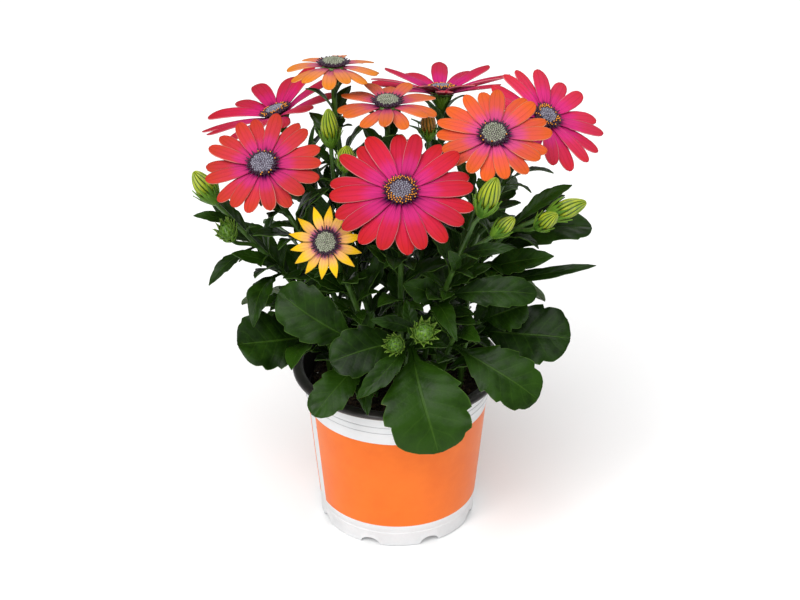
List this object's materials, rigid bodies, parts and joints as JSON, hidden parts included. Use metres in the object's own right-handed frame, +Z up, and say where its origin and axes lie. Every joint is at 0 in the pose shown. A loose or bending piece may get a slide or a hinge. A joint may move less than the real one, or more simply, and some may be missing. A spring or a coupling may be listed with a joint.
{
  "type": "potted osteospermum",
  "caption": "Flowering osteospermum in its nursery pot: daisy blooms in red, orange, crimson and yellow, closed buds, and broad toothed leaves that hang over the rim.",
  "frame": {"origin": "centre of the pot's underside", "axes": "+Z up along the pot's axis, -Y towards the viewer of the picture"},
  "size_m": [0.2231, 0.2034, 0.2796],
  "materials": {
    "pot": "satin, white outside and dark inside, with an orange band",
    "soil": "moist, crumbly",
    "rays_red_front": "velvety",
    "rays_scarlet_left": "velvety",
    "rays_crimson_back_left": "velvety",
    "rays_orange_top": "velvety",
    "rays_coral_middle": "velvety",
    "rays_crimson_back_right": "velvety",
    "rays_orange_right": "velvety",
    "rays_pink_right": "velvety",
    "rays_yellow_small": "velvety",
    "disc_florets": "grainy",
    "stalk": "satin",
    "foliage": "satin",
    "bud_green": "satin",
    "bud_brown": "satin",
    "young_head": "matte"
  },
  "bodies": {
    "root": {"pot": "pot", "soil": "soil", "rays_red_front": "rays_red_front", "disc_red_front": "disc_florets", "stalk_red_front": "stalk", "rays_scarlet_left": "rays_scarlet_left", "disc_scarlet_left": "disc_florets", "stalk_scarlet_left": "stalk", "rays_crimson_back_left": "rays_crimson_back_left", "disc_crimson_back_left": "disc_florets", "stalk_crimson_back_left": "stalk", "rays_orange_top": "rays_orange_top", "disc_orange_top": "disc_florets", "stalk_orange_top": "stalk", "rays_coral_middle": "rays_coral_middle", "disc_coral_middle": "disc_florets", "stalk_coral_middle": "stalk", "rays_crimson_back_right": "rays_crimson_back_right", "disc_crimson_back_right": "disc_florets", "stalk_crimson_back_right": "stalk", "rays_orange_right": "rays_orange_right", "disc_orange_right": "disc_florets", "stalk_orange_right": "stalk", "rays_pink_right": "rays_pink_right", "disc_pink_right": "disc_florets", "stalk_pink_right": "stalk", "rays_yellow_small": "rays_yellow_small", "disc_yellow_small": "disc_florets", "stalk_yellow_small": "stalk", "shoot_left": "foliage", "shoot_front_left": "foliage", "shoot_front": "foliage", "shoot_right_front": "foliage", "shoot_right": "foliage", "shoot_back_right": "foliage", "shoot_back": "foliage", "shoot_back_left": "foliage", "branch_left": "foliage", "branch_left_middle": "foliage", "branch_middle": "foliage", "branch_right_front": "foliage", "branch_right": "foliage", "bud_left_tall": "bud_green", "bud_left_short": "bud_green", "bud_brown_middle": "bud_brown", "bud_brown_right": "bud_brown", "bud_front_right": "bud_green", "bud_green_right": "bud_green", "bud_right_near": "bud_green", "bud_right_far": "bud_green", "bud_far_left": "bud_green", "head_left": "young_head", "head_front": "young_head", "head_front_small": "young_head"}
  },
  "joints": []
}
